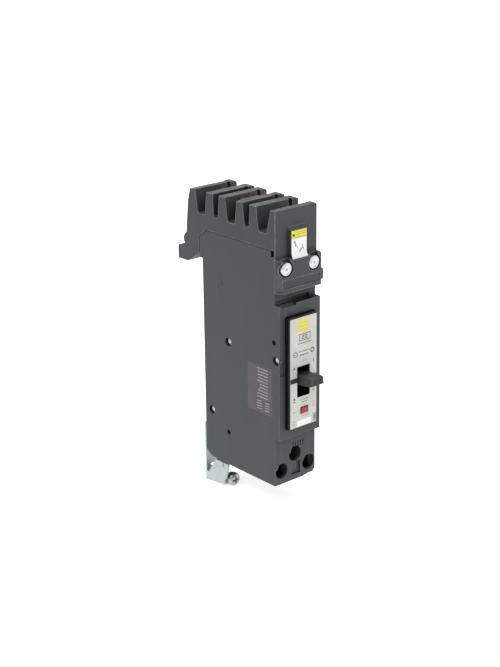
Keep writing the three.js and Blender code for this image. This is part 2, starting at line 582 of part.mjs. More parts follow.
piece('test_button', testButton(), finish(0xb8323f, 0.35));
piece('button_spring', coilSpring([BUTTON.x, -0.55, BUTTON.z], [0, 1, 0], { coil: 1.5, wireRadius: 0.25, turns: 4, length: 6.4 }), STEEL);

export default assembly;
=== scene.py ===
# %% [markdown]
# # A one-pole plug-on breaker with ground-fault protection
# The breaker is a charcoal moulding with a finned head that clips over the bus bars, a raised
# front with a printed plate, a short toggle, a red test button and a zinc bracket with its own
# screw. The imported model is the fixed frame: it says where every piece is, in metres. This
# script gives each visible piece its finish, and rebuilds the turned and printed pieces finely.

# %% Load the frame
import json
import math
import random

import bmesh
import bpy
from mathutils import Matrix, Vector


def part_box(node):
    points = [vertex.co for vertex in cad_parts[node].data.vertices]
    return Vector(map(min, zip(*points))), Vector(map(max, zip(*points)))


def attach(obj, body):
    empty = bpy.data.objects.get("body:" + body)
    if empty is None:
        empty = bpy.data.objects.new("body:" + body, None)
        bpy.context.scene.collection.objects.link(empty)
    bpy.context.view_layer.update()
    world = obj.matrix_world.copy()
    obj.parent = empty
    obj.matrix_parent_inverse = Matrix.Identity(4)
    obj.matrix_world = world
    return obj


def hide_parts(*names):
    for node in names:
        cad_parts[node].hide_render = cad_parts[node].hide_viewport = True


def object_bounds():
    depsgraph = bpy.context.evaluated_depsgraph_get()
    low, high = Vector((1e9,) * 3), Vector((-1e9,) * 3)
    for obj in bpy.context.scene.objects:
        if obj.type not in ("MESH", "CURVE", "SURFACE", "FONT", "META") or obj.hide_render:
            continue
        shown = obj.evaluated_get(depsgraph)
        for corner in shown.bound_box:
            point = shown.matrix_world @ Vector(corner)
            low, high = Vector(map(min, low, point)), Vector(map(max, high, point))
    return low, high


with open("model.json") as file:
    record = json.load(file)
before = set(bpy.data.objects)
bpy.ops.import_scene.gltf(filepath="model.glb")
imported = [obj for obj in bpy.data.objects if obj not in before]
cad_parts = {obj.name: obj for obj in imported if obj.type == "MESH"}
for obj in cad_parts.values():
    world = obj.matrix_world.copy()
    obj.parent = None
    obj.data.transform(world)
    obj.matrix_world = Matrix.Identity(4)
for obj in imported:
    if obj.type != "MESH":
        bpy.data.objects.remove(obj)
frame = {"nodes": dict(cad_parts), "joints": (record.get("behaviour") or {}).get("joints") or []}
nodes = frame["nodes"]
cad_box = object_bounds()
MM = 0.001

# %% [markdown]
# ## Writing materials as expressions
# A procedural material is a graph of nodes, and sums between nodes are easier to read as sums.
# A small class wraps one socket, so that `1 - mask * 0.5` adds the Math nodes that it says. A
# vector socket adds Vector Math nodes instead, and colours only ever meet in a Mix node,
# because a Math node would turn them grey.

# %% A socket that can be calculated with
class Socket:
    def __init__(self, finish, socket):
        self.finish = finish
        self.socket = socket

    def _sum(self, operation, left, right):
        kinds = [side.socket.type for side in (left, right) if isinstance(side, Socket)]
        kind = "ShaderNodeVectorMath" if "VECTOR" in kinds else "ShaderNodeMath"
        return self.finish.node(kind, {"operation": operation}, {0: left, 1: right})

    def __add__(self, other):
        return self._sum("ADD", self, other)

    def __radd__(self, other):
        return self._sum("ADD", other, self)

    def __sub__(self, other):
        return self._sum("SUBTRACT", self, other)

    def __rsub__(self, other):
        return self._sum("SUBTRACT", other, self)

    def __mul__(self, other):
        return self._sum("MULTIPLY", self, other)

    def __rmul__(self, other):
        return self._sum("MULTIPLY", other, self)

    def __truediv__(self, other):
        return self._sum("DIVIDE", self, other)

    def __pow__(self, other):
        return self._sum("POWER", self, other)


# %% [markdown]
# One more class holds a material while it is being built. Its `node` method adds any node from
# a type, its settings and its inputs. Numbers that are the same all over the surface are set on
# the shader itself, and only what changes over the surface is linked.

# %% A material under construction
EDGE_SAMPLES = 4


def tone(colour, factor):
    """The same colour, lighter or darker, with each part held below 1."""
    return tuple(min(1.0, part * factor) for part in colour)


class Finish:
    def __init__(self, name, **constants):
        self.material = bpy.data.materials.new(name)
        self.material.use_nodes = True
        self.tree = self.material.node_tree
        self.shader = self.tree.nodes["Principled BSDF"]
        for socket, value in constants.items():
            self.shader.inputs[socket.replace("_", " ")].default_value = value
        self.place = self.node("ShaderNodeTexCoord", {}, {}, "Object")

    def connect(self, socket, value):
        if isinstance(value, Socket):
            self.tree.links.new(value.socket, socket)
        elif socket.type == "RGBA" and len(value) == 3:
            socket.default_value = (*value, 1)
        elif socket.type == "VECTOR" and not hasattr(value, "__len__"):
            socket.default_value = (value, value, value)
        else:
            socket.default_value = value

    def node(self, kind, settings, inputs, output=0):
        made = self.tree.nodes.new(kind)
        for name, value in settings.items():
            if name == "stops":
                ramp = made.color_ramp
                while len(ramp.elements) < len(value):
                    ramp.elements.new(0.5)
                for element, (position, colour) in zip(ramp.elements, value):
                    element.position = position
                    element.color = (*colour, 1)
            else:
                setattr(made, name, value)
        for socket, value in inputs.items():
            self.connect(made.inputs[socket], value)
        return Socket(self, made.outputs[output])

    def noise(self, size_mm, detail=2.0, roughness=0.5, stretch=(1, 1, 1), distortion=0.0):
        """Cloudy noise from 0 to 1 whose lumps are about size_mm across."""
        place = self.place * tuple(1 / (axis * size_mm * MM) for axis in stretch)
        inputs = {"Vector": place, "Scale": 1.0, "Detail": detail, "Roughness": roughness,
                  "Distortion": distortion}
        return self.node("ShaderNodeTexNoise", {}, inputs, 0)

    def cells(self, size_mm):
        """Crystal-like cells about size_mm across, each darkest at its middle."""
        place = self.place * (1 / (size_mm * MM))
        return self.node("ShaderNodeTexVoronoi", {"feature": "F1"},
                         {"Vector": place, "Scale": 1.0}, 0)

    def spread(self, value, low, high, to_low=0.0, to_high=1.0):
        """value from low..high moved to to_low..to_high, and held at both ends."""
        return self.node("ShaderNodeMapRange", {"clamp": True},
                         {0: value, 1: low, 2: high, 3: to_low, 4: to_high})

    def blend(self, factor, first, second):
        """The first colour where factor is 0, and the second where it is 1."""
        return self.node("ShaderNodeMix", {"data_type": "RGBA", "blend_type": "MIX"},
                         {0: factor, 6: first, 7: second}, 2)

    def along(self, axis):
        """One coordinate of the surface point, in metres."""
        return self.node("ShaderNodeSeparateXYZ", {}, {0: self.place}, axis)

    def facing(self, axis):
        """How far the surface faces along an axis of the breaker, from -1 to 1."""
        normal = self.node("ShaderNodeNewGeometry", {}, {}, "Normal")
        return self.node("ShaderNodeSeparateXYZ", {}, {0: normal}, axis)

    def rounded(self, radius_mm):
        """The direction the surface would face if its edges were rounded."""
        return self.node("ShaderNodeBevel", {"samples": EDGE_SAMPLES},
                         {"Radius": radius_mm * MM}, 0)

    def edges(self, radius_mm):
        """1 along outer and inner edges, fading to 0 on flat faces."""
        rounded = self.rounded(radius_mm)
        normal = self.node("ShaderNodeNewGeometry", {}, {}, "Normal")
        same = self.node("ShaderNodeVectorMath", {"operation": "DOT_PRODUCT"},
                         {0: rounded, 1: normal}, "Value")
        return self.spread(1 - same, 0.01, 0.14)

    def bump(self, height, depth_mm, strength=1.0, round_mm=0.3):
        """Fine relief on top of edges that catch the light as if rounded by round_mm."""
        return self.node("ShaderNodeBump", {},
                         {"Height": height, "Strength": strength, "Distance": depth_mm * MM,
                          "Normal": self.rounded(round_mm)}, 0)

    def finish(self, **inputs):
        for socket, value in inputs.items():
            self.connect(self.shader.inputs[socket.replace("_", " ")], value)
        return self.material


# %% [markdown]
# ## Phenolic
# The case, head and handle are glass-filled phenolic, moulded in a steel tool. It is a dark
# warm grey that scatters light softly, with a fine speckle from its filler, slow clouds where
# the compound flowed, and edges painted paler, partly as wear, because flash is scraped off
# them and dust and handling rub them, and partly as a painted highlight. Faces that point up
# are painted paler in blotches. Hollows get painted shade from an ambient occlusion mask, and
# the head has a faint brown mottle by the jaws. Each moulding shifts the pattern by its own seed.

# %% Phenolic
HOLLOW_MM = 11                       # how far a hollow reaches before it counts as open
HEAT_BROWN = (0.135, 0.112, 0.068)


def phenolic(name, base, pale_edge, seed, rim_mm=0.7, browned=False):
    made = Finish(name, IOR=1.5, Specular_IOR_Level=0.42)
    across, depth, height_up = made.along(0), made.along(1), made.along(2)
    made.place = made.place + (seed, seed * 0.37, 0.0)
    clouds = made.noise(38, 3, 0.55, stretch=(1, 1, 1.8))
    flow = made.noise(9, 4, 0.6, stretch=(1, 1, 4))
    speckle = made.noise(0.42, 2, 0.7)
    fleck = made.spread(made.noise(0.9, 1, 0.5), 0.66, 0.78)
    light = tone(base, 1.16)
    colour = made.blend(clouds, tone(base, 0.86), light)
    colour = made.blend(made.spread(speckle, 0.35, 0.7, 0.0, 0.35), colour, light)
    colour = made.blend(fleck * 0.3, colour, tone(base, 1.7))
    # Edges are painted paler: partly wear, and partly a painted highlight.
    rim = made.edges(rim_mm)
    worn_and_highlit_edge = rim * made.spread(made.noise(3.2, 4, 0.65), 0.32, 0.62, 0.25, 1.0)
    # Faces that point up are painted paler, in blotches.
    up_face_blotches = made.spread(made.noise(6, 5, 0.7), 0.3, 0.75, 0.2, 1.0)
    paler_up_faces = made.spread(made.facing(2), 0.55, 1.0) * up_face_blotches
    colour = made.blend(worn_and_highlit_edge * 0.9, colour, pale_edge)
    colour = made.blend(paler_up_faces * 0.55, colour, pale_edge)
    # Painted shade: hollows are darkened towards near black from an ambient occlusion mask.
    open_air = made.node("ShaderNodeAmbientOcclusion", {"samples": 6},
                         {"Distance": HOLLOW_MM * MM}, "AO")
    painted_hollow_shade = made.spread(open_air, 0.35, 0.95, 0.85, 0.0)
    colour = made.blend(painted_hollow_shade, colour, tone(base, 0.1))
    if browned:
        off_jaws = made.node("ShaderNodeMath", {"operation": "ABSOLUTE"}, {0: depth - JAW_DEPTH})
        near_jaws = (made.spread(off_jaws, 13.5 * MM, 8 * MM)
                     * made.spread(height_up, 186 * MM, 195 * MM))
        near_jaws = near_jaws * made.spread(across, -13 * MM, -1 * MM)
        blotches = made.spread(made.noise(2.4, 5, 0.75), 0.42, 0.62)
        colour = made.blend(near_jaws * blotches * 0.7, colour, HEAT_BROWN)
    rough = 0.45 + 0.16 * clouds + 0.1 * flow - 0.08 * worn_and_highlit_edge
    height = 0.6 * speckle + 0.5 * flow + 0.25 * made.noise(2.2, 3, 0.6)
    return made.finish(Base_Color=colour, Roughness=rough, Normal=made.bump(height, 0.05, 0.8))


JAW_DEPTH = sum(corner.y for name in ("jaw_front", "jaw_rear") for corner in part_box(name)) / 4
CASE_GREY = (0.0385, 0.040, 0.0425)
# The *_EDGE tones are painted onto edges, as wear and as painted highlight, and onto faces that
# point up.
CASE_EDGE = (0.17, 0.173, 0.178)
HEAD_EDGE = (0.30, 0.304, 0.31)
TOGGLE_GREY = (0.025, 0.0248, 0.0245)
TOGGLE_EDGE = (0.13, 0.13, 0.13)
case_phenolic = phenolic("case_phenolic", CASE_GREY, CASE_EDGE, 0.0)
cover_phenolic = phenolic("cover_phenolic", tone(CASE_GREY, 0.97), CASE_EDGE, 0.31)
head_phenolic = phenolic("head_phenolic", tone(CASE_GREY, 0.92), HEAD_EDGE, 0.77, 1.0,
                         browned=True)
toggle_phenolic = phenolic("toggle_phenolic", TOGGLE_GREY, TOGGLE_EDGE, 0.12)
print("middle of the two jaws, front to back, in mm:", round(JAW_DEPTH / MM, 2))

# %% [markdown]
# ## The other finishes
# The front plate is a gloss black moulding with faint smears. A thin clear coat over a dark
# base gives its shine, and scuffs take the coat away, which a plain glossy black would not do.

# %% Gloss black
def gloss_black():
    made = Finish("gloss_black_plate", IOR=1.45, Coat_Roughness=0.12, Specular_IOR_Level=0.3)
    smear = made.noise(7, 4, 0.6, stretch=(1, 1, 2.5), distortion=1.2)
    scuff = made.spread(made.noise(1.4, 5, 0.75), 0.6, 0.8)
    rim = made.edges(0.4)
    colour = made.blend(rim * 0.4 + scuff * 0.12, (0.008, 0.008, 0.009), (0.06, 0.06, 0.064))
    rough = 0.16 + 0.14 * smear + 0.2 * scuff
    height = made.noise(5, 2, 0.4)
    return made.finish(Base_Color=colour, Roughness=rough, Coat_Weight=0.12 - 0.1 * scuff,
                       Normal=made.bump(height, 0.04, 0.5))


# %% [markdown]
# The bracket and screws are steel with bright zinc plating, which is cloudy, slightly
# blue-green, and a little frosted where it was formed. One function makes every metal here: it
# takes two close tones, a grain direction and how frosted the surface is, because plated,
# drawn and cast metals differ more in those than in how they are built.

# %% Plated and bare metal
def metal(name, base, tint, rough, grain=(1, 1, 1), cloud_mm=4.0, frost=0.25, bump_mm=0.02):
    made = Finish(name, Metallic=1.0)
    cloud = made.noise(cloud_mm, 4, 0.6)
    spangle = made.cells(cloud_mm * 0.45)
    brushed = made.noise(0.5, 3, 0.6, stretch=grain)
    stain = made.spread(made.noise(cloud_mm * 2.3, 5, 0.7, distortion=0.6), 0.52, 0.74)
    colour = made.blend(made.spread(cloud, 0.3, 0.7), base, tint)
    colour = made.blend(stain * 0.35, colour, tone(base, 0.62))
    colour = made.blend(made.edges(0.3) * 0.4, colour, tone(base, 1.2))
    roughness = rough + frost * (cloud - 0.5) + 0.12 * stain + 0.08 * brushed + 0.05 * spangle
    height = 0.7 * brushed + 0.4 * cloud
    return made.finish(Base_Color=colour, Roughness=roughness,
                       Normal=made.bump(height, bump_mm, 0.6))


zinc = metal("zinc_plate", (0.33, 0.375, 0.37), (0.44, 0.475, 0.465), 0.36, (1, 1, 3), 5.0)
zinc_screw = metal("zinc_screw", (0.47, 0.50, 0.51), (0.68, 0.71, 0.73), 0.32, (3, 1, 1), 1.6, 0.4)
dull_screw = metal("zinc_screw_dull", (0.33, 0.34, 0.34), (0.46, 0.47, 0.47), 0.32, (3, 1, 1), 2.0)
steel = metal("bright_steel", (0.60, 0.61, 0.62), (0.70, 0.70, 0.70), 0.28, (4, 1, 1), 2.5)
tin_brass = metal("aged_brass", (0.27, 0.235, 0.15), (0.38, 0.34, 0.24), 0.4, (1, 1, 4), 3.0)
copper = metal("bare_copper", (0.62, 0.33, 0.20), (0.70, 0.42, 0.27), 0.30, (1, 1, 4), 4.0)
silver = metal("contact_silver", (0.80, 0.80, 0.79), (0.88, 0.88, 0.87), 0.22, (1, 1, 1), 1.2)
black_plate = gloss_black()
print("metals and gloss black made")

# %% [markdown]
# Fibre, board and the small plastics are seen only through gaps, but they get the detail that
# the real ones have: crossed strands in the pressed fibre, tracks under the green mask of the
# board, and a fine grain in the moulded pieces.

# %% Inner plastics, fibre and board
def fibre():
    made = Finish("pressed_fibre", IOR=1.45)
    strands = made.noise(0.7, 4, 0.7, stretch=(1, 1, 7))
    cross = made.noise(0.7, 4, 0.7, stretch=(1, 7, 1))
    colour = made.blend(made.spread(strands, 0.35, 0.65), (0.33, 0.29, 0.24), (0.46, 0.42, 0.36))
    colour = made.blend(made.spread(cross, 0.5, 0.8) * 0.5, colour, (0.24, 0.21, 0.18))
    return made.finish(Base_Color=colour, Roughness=0.7 + 0.15 * strands,
                       Normal=made.bump(strands + cross, 0.08, 0.7))


def solder_mask():
    made = Finish("circuit_board_mask", IOR=1.5)
    tracks = made.node("ShaderNodeTexBrick", {"offset": 0.5},
                       {"Vector": made.place / (6 * MM), "Scale": 1.0, "Mortar Size": 0.09}, "Fac")
    colour = made.blend(tracks, (0.02, 0.13, 0.06), (0.05, 0.24, 0.12))
    colour = made.blend(made.noise(5, 3, 0.6) * 0.3, colour, (0.01, 0.08, 0.04))
    return made.finish(Base_Color=colour, Roughness=0.3 + 0.2 * made.noise(3, 3, 0.6),
                       Normal=made.bump(tracks, 0.06, 0.8))


def moulded(name, base, rough=0.4, speck=0.15, edge=1.5):
    """A small moulded or sleeved plastic piece in one colour."""
    made = Finish(name, IOR=1.5)
    cloud = made.noise(5, 3, 0.6)
    grain = made.noise(0.35, 2, 0.7)
    colour = made.blend(cloud, tone(base, 0.88), tone(base, 1.1))
    colour = made.blend(made.edges(0.35) * 0.45, colour, tone(base, edge))
    colour = made.blend(made.spread(grain, 0.55, 0.8) * speck, colour, tone(base, 0.6))
    return made.finish(Base_Color=colour, Roughness=rough + 0.12 * cloud + 0.06 * grain,
                       Normal=made.bump(grain + 0.5 * cloud, 0.03, 0.6))


inner_fibre = fibre()
board_mask = solder_mask()
lead_black = moulded("lead_sleeve_black", (0.015, 0.015, 0.016))
lead_white = moulded("lead_sleeve_white", (0.68, 0.66, 0.60))
nylon = moulded("retainer_nylon", (0.72, 0.70, 0.62), 0.38)
button_red = moulded("button_red", (0.36, 0.028, 0.05), 0.3, 0.1, 1.9)
print("plastics, fibre and board made")

# %% [markdown]
# ## Printed films
# The rating plate, the sticker on the head and the dark film on the side are thin printed
# films. The paper-white of each is a little uneven, with the fine fibre of the stock and faint
# tints where coloured text was printed. Everything that would be a mark or a warning is a
# plain generic shape here.

# %% Film stock
def film(name, stock, shade, rough, tints=()):
    """tints are (x mm, z mm, radius mm, colour, strength) spots of pale printed colour."""
    made = Finish(name, IOR=1.45)
    fibres = made.noise(0.5, 4, 0.7, stretch=(2.5, 2.5, 1))
    cloud = made.noise(12, 3, 0.6)
    colour = made.blend(made.spread(cloud, 0.3, 0.7), stock, shade)
    colour = made.blend(made.spread(fibres, 0.55, 0.8) * 0.18, colour, tone(shade, 0.8))
    for across, up, radius, tint, strength in tints:
        across_gap = made.along(0) / MM - across
        up_gap = made.along(2) / MM - up
        gap = (across_gap * across_gap + up_gap * up_gap) ** 0.5
        spot = made.spread(gap + 3 * made.noise(2.2, 3, 0.7), radius * 1.2, radius * 0.4)
        colour = made.blend(spot * strength, colour, tint)
    colour = made.blend(made.edges(0.3) * 0.3, colour, tone(shade, 0.7))
    return made.finish(Base_Color=colour, Roughness=rough + 0.12 * cloud,
                       Normal=made.bump(fibres, 0.012, 0.5))


GREEN_TINT = (0.42, 0.60, 0.44)
PINK_TINT = (0.74, 0.46, 0.47)
LILAC_TINT = (0.58, 0.54, 0.68)
plate_film = film("plate_film", (0.495, 0.495, 0.455), (0.565, 0.565, 0.535), 0.38, (
    (-6, 57, 6, GREEN_TINT, 0.35), (3, 62, 5, GREEN_TINT, 0.4), (8, 58, 5, PINK_TINT, 0.35),
    (-9, 62, 4, PINK_TINT, 0.3), (1, 52, 4, PINK_TINT, 0.25), (6.5, 119, 4, LILAC_TINT, 0.4),
    (-4, 46, 3, LILAC_TINT, 0.2)))
sticker_white = film("sticker_white", (0.74, 0.74, 0.735), (0.80, 0.80, 0.80), 0.35)
sticker_yellow = film("sticker_yellow", (0.66, 0.60, 0.035), (0.72, 0.67, 0.07), 0.35)
side_film = film("side_film", (0.046, 0.039, 0.048), (0.062, 0.049, 0.059), 0.33)
side_ink = film("side_ink", (0.34, 0.32, 0.38), (0.42, 0.39, 0.45), 0.45)
ink_dark = film("ink_dark", (0.035, 0.035, 0.037), (0.06, 0.06, 0.062), 0.5)
ink_grey = film("ink_grey", (0.20, 0.20, 0.20), (0.27, 0.27, 0.265), 0.5)
ink_green = film("ink_green", (0.10, 0.24, 0.12), (0.16, 0.32, 0.18), 0.5)
ink_pink = film("ink_pink", (0.52, 0.20, 0.24), (0.60, 0.28, 0.31), 0.5)
ink_yellow = film("ink_yellow", (0.65, 0.57, 0.065), (0.68, 0.62, 0.14), 0.42)
blank_white = film("blank_white", (0.74, 0.74, 0.68), (0.80, 0.80, 0.75), 0.38)
recess_black = moulded("recess_black", (0.012, 0.012, 0.013), 0.6)
print("films and inks made")

# %% [markdown]
# ## Carried pieces
# The flat-sided mouldings already have their true shape, so they stay. Their meshes come in as
# loose triangles, which a Weld joins. On the simpler ones a planar Decimate then merges each
# flat face back into one, and a narrow Bevel breaks every sharp edge as a real mould does. The
# case and head have too many small steps for that, so an Edge Split keeps their edges crisp and
# the material rounds them. That thin bright line along the edges is most of what makes a
# moulding look real; on the phenolic pieces part of it is a painted highlight.

# %% Edge finish for the carried pieces
SHARP_ANGLE = math.radians(28)       # faces that meet at more than this keep a real edge
WELD_GAP = 1e-6


def join_triangles(name):
    piece = nodes[name]
    for polygon in piece.data.polygons:
        polygon.use_smooth = True
    weld = piece.modifiers.new("weld", "WELD")
    weld.merge_threshold = WELD_GAP
    return piece


def break_edges(name, width_mm):
    piece = join_triangles(name)
    flat = piece.modifiers.new("flat", "DECIMATE")
    flat.decimate_type = "DISSOLVE"
    flat.angle_limit = math.radians(0.5)
    bevel = piece.modifiers.new("edge", "BEVEL")
    bevel.width = width_mm * MM
    bevel.segments = 2
    bevel.limit_method = "ANGLE"
    bevel.angle_limit = SHARP_ANGLE
    bevel.harden_normals = False
    bevel.use_clamp_overlap = True
    even = piece.modifiers.new("even", "WEIGHTED_NORMAL")
    even.keep_sharp = True


def even_shading(name):
    """Smooth over the facets of curved faces and keep every real edge crisp."""
    split = join_triangles(name).modifiers.new("crisp", "EDGE_SPLIT")
    split.split_angle = SHARP_ANGLE
    split.use_edge_sharp = False


def dress(material, *names):
    for name in names:
        piece = nodes[name]
        piece.data.materials.clear()
        piece.data.materials.append(material)


TERMINALS = ("load_power", "load_neutral", "panel_neutral")
EDGES = {"escutcheon": 0.25, "pan_bracket": 0.3, "toggle_handle": 0.4, "jaw_front": 0.2,
         "jaw_rear": 0.2, "line_strap": 0.2, "contact_arm": 0.3, "rating_label": 0.04,
         **{f"{terminal}_lug": 0.3 for terminal in TERMINALS}}
for name in nodes:
    if name in EDGES:
        break_edges(name, EDGES[name])
    else:
        even_shading(name)
print("edges broken on", len(EDGES), "pieces")

# %% [markdown]
# Each carried piece then gets the finish that its real counterpart has. Small metal pieces are
# picked by the kind of name that they share, so a list of them isn't needed.

# %% Finishes for the carried pieces
dress(case_phenolic, "case_frame")
dress(cover_phenolic, "left_cover", "right_cover")
dress(head_phenolic, "line_head")
dress(toggle_phenolic, "toggle_handle")
dress(black_plate, "escutcheon")
dress(plate_film, "rating_label")
dress(side_film, "side_label")
dress(zinc, "pan_bracket")
dress(steel, *[n for n in nodes
               if n.startswith(("arc_plate", "case_rivet", "bracket_rivet", "jaw_spring"))])
dress(steel, *[n for n in nodes if n.endswith(("_pin", "_spring", "_clamp"))])
dress(steel, "trip_lever", "armature", "bimetal", "solenoid_frame", "solenoid_plunger")
dress(tin_brass, "jaw_front", "jaw_rear")
dress(copper, "line_strap", "contact_arm", "flexible_braid", "solenoid_coil")
dress(copper, *[f"{terminal}_lug" for terminal in TERMINALS])
dress(silver, "fixed_contact", "moving_contact")
dress(inner_fibre, "arc_side_left", "arc_side_right", "sensor_toroid")
dress(board_mask, "circuit_board")
dress(lead_black, "load_lead")
dress(lead_white, "neutral_lead")
dress(nylon, "screw_retainer")
dress(button_red, "test_button")
print("carried pieces dressed:", len(nodes))

# %% [markdown]
# ## Turned pieces
# Screws and rivets are turned or headed, so each is a profile swept round an axis. The grid of
# points lets a small function shape the surface as it goes: a thread is a radius that rises and
# falls along a helix, and a cross recess is a depth that is pressed into the head.

# %% Sweep a profile
def new_piece(name, mesh, material, body, replaced=()):
    bm = bmesh.new()
    bm.from_mesh(mesh)
    bmesh.ops.recalc_face_normals(bm, faces=bm.faces)
    bm.to_mesh(mesh)
    bm.free()
    piece = bpy.data.objects.new(name, mesh)
    bpy.context.scene.collection.objects.link(piece)
    mesh.materials.append(material)
    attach(piece, body)
    if replaced:
        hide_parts(*replaced)
    return piece


def smooth_by_angle(mesh, degrees=32):
    for polygon in mesh.polygons:
        polygon.use_smooth = True
    mesh.set_sharp_from_angle(angle=math.radians(degrees))


def turned_mesh(name, profile, centre, axis, around=48, press=None):
    """profile is (radius, distance) in mm, from axis to axis.

    press(r, angle, d) returns a new (r, d), and so shapes the surface.
    """
    bm = bmesh.new()
    rings = []
    for radius, distance in profile:
        ring = []
        for i in range(1 if radius == 0 else around):
            angle = 2 * math.pi * i / around
            r, d = (radius, distance) if press is None else press(radius, angle, distance)
            across, up = r * math.cos(angle), r * math.sin(angle)
            point = (across, d, up) if axis == "y" else (d, across, up)
            ring.append(bm.verts.new(Vector(centre) + Vector(point) * MM))
        rings.append(ring)
    for first, second in zip(rings, rings[1:]):
        for i in range(around):
            j = (i + 1) % around
            corners = [first[i % len(first)], first[j % len(first)],
                       second[j % len(second)], second[i % len(second)]]
            unique = list(dict.fromkeys(corners))
            if len(unique) > 2:
                bm.faces.new(unique)
    mesh = bpy.data.meshes.new(name)
    bm.to_mesh(mesh)
    bm.free()
    smooth_by_angle(mesh)
    return mesh


def fine(profile, step=0.35):
    """The same profile with extra points, so that no stretch is longer than step mm."""
    points = [profile[0]]
    for (r0, d0), (r1, d1) in zip(profile, profile[1:]):
        count = max(1, math.ceil(math.hypot(r1 - r0, d1 - d0) / step))
        points += [(r0 + (r1 - r0) * k / count, d0 + (d1 - d0) * k / count)
                   for k in range(1, count + 1)]
    return points


# %% [markdown]
# The bracket's own screw has a rounded cross-recess head with a fine serrated rim, and a rolled
# thread down its shank. The head screws on the line end are plain bright discs with a shallow
# drive dimple and ring, and the terminal screws are slotted.

# %% Screws
def middle(name):
    low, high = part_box(name)
    return (low + high) / 2


def thread(pitch, depth, start, end):
    def shape(r, angle, d):
        if not start < d < end or r < 1:
            return r, d
        turn = ((d / pitch) - angle / (2 * math.pi)) % 1
        fade = min(1, (d - start) / pitch, (end - d) / pitch)
        return r - depth * fade * abs(2 * turn - 1), d
    return shape


def cross_recess(reach, half_width, depth):
    """Presses a cross into a head. It is deepest in the middle and shallower along its arms."""
    def shape(r, angle, d):
        x, z = abs(r * math.cos(angle)), abs(r * math.sin(angle))
        long, short = max(x, z), min(x, z)
        side_wall = min(max((half_width - short) / 0.35, 0), 1)
        wall = side_wall * min(max((reach - long) / 0.5, 0), 1)
        floor = depth * (1 - 0.45 * long / reach)
        return r, d + wall * floor
    return shape


def mounting_screw():
    low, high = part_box("mounting_screw")
    centre = middle("mounting_screw")
    length = (high.y - low.y) / MM
    radius = (high.x - low.x) / 2 / MM
    slopes = [math.radians(degrees) for degrees in range(6, 90, 6)]
    dome = [(0, 0)] + [(radius * 0.97 * math.sin(a), 2.1 * (1 - math.cos(a))) for a in slopes]
    head = dome + [(radius, 2.3), (radius, 4.5), (radius - 0.3, 4.8), (2.4, 4.8)]
    shank = [(2.4, 6.5), (2.4, length - 1.4), (1.7, length), (0, length)]
    profile = fine(head, 0.22) + fine([(2.4, 4.8), *shank], 0.16)[1:]
    recess = cross_recess(2.9, 0.75, 1.9)
    cut = thread(0.85, 0.42, 7.5, length - 0.4)

    def shape(r, angle, d):
        if d < 2.2 and r < radius * 0.8:
            return recess(r, angle, d)
        if 2.2 < d < 4.7 and r > radius - 0.2:
            return r - 0.16 * (0.5 + 0.5 * math.cos(22 * angle)), d
        return cut(r, angle, d)

    mesh = turned_mesh("captive_screw", profile, (centre.x, low.y, centre.z), "y", 88, shape)
    return new_piece("captive_screw", mesh, dull_screw, "pan_screw", ("mounting_screw",))


def head_screw(side):
    node = f"head_screw_{side}"
    low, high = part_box(node)
    centre = middle(node)
    radius = (high.x - low.x) / 2 / MM
    length = (high.y - low.y) / MM
    profile = [(0, 0.75), (0.7, 0.7), (0.85, 0.12), (1.5, 0.02), (2.7, 0.05), (2.9, 0.3),
               (3.3, 0.3), (3.5, 0.05), (radius - 0.5, 0.06), (radius - 0.12, 0.3),
               (radius, 0.6), (radius, 2.8), (radius - 0.2, 2.95), (2, 2.95),
               (2, length - 1), (1.2, length), (0, length)]

    def shape(r, angle, d):
        if 0.02 < r <= 0.9:
            return r * (1 + 0.12 * math.cos(6 * angle)), d
        return r, d

    name = f"line_screw_{side}"
    mesh = turned_mesh(name, fine(profile, 0.5), (centre.x, low.y, centre.z), "y", 60, shape)
    return new_piece(name, mesh, zinc_screw, "case", (node,))


def terminal_screw(terminal):
    node = f"{terminal}_screw"
    low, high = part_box(node)
    centre = middle(node)
    length = (high.y - low.y) / MM
    profile = [(0, 0), (2.9, 0), (3.2, 0.12), (3.4, 0.45), (3.4, 2.9), (2, 2.9),
               (2, length - 0.7), (1.4, length), (0, length)]
    rolled = thread(0.8, 0.3, 3.6, length - 0.3)

    def shape(r, angle, d):
        if d < 0.3 and r < 3.3 and abs(r * math.cos(angle)) < 0.5:
            return r, d + 1.1
        return rolled(r, angle, d)

    name = f"{terminal}_set_screw"
    mesh = turned_mesh(name, fine(profile, 0.2), (centre.x, low.y, centre.z), "y", 64, shape)
    return new_piece(name, mesh, zinc_screw, f"{terminal}_screw_body", (node,))


mounting_screw()
for side in ("left", "right"):
    head_screw(side)
for terminal in TERMINALS:
    terminal_screw(terminal)
print("screws made")

# %% [markdown]
# The case is held together by rivets with a rolled rim and a dished middle. One half of the
# profile is drawn and mirrored, so both ends are the same.

# %% Rivets
def case_rivet(node):
    low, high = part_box(node)
    centre = middle(node)
    length = (high.x - low.x) / MM
    radius = (high.z - low.z) / 2 / MM
    half = [(0, 0.0), (0.9, 0.02), (1.1, 0.2), (1.5, 0.2), (1.75, 0.05), (2.3, 0.18),
            (2.75, 0.42), (radius, 0.8), (radius, 1.05), (1.6, 1.05)]
    profile = half + [(r, length - d) for r, d in reversed(half)]
    mesh = turned_mesh(node + "_fine", profile, (low.x, centre.y, centre.z), "x", 48)
    return new_piece(node + "_fine", mesh, zinc_screw, "case", (node,))


for place in ("front", "middle", "rear"):
    case_rivet(f"case_rivet_{place}")
print("case rivets made")

# %% [markdown]
# ## Printing
# Print has almost no thickness, so each mark is a thin raised patch of ink on its film. A patch
# is an outline pushed out a few hundredths of a millimetre. One helper collects many patches of
# one colour into one piece. The marks are plain: dashes for lines of words, rings and bars for
# symbols, and the number of the rating.

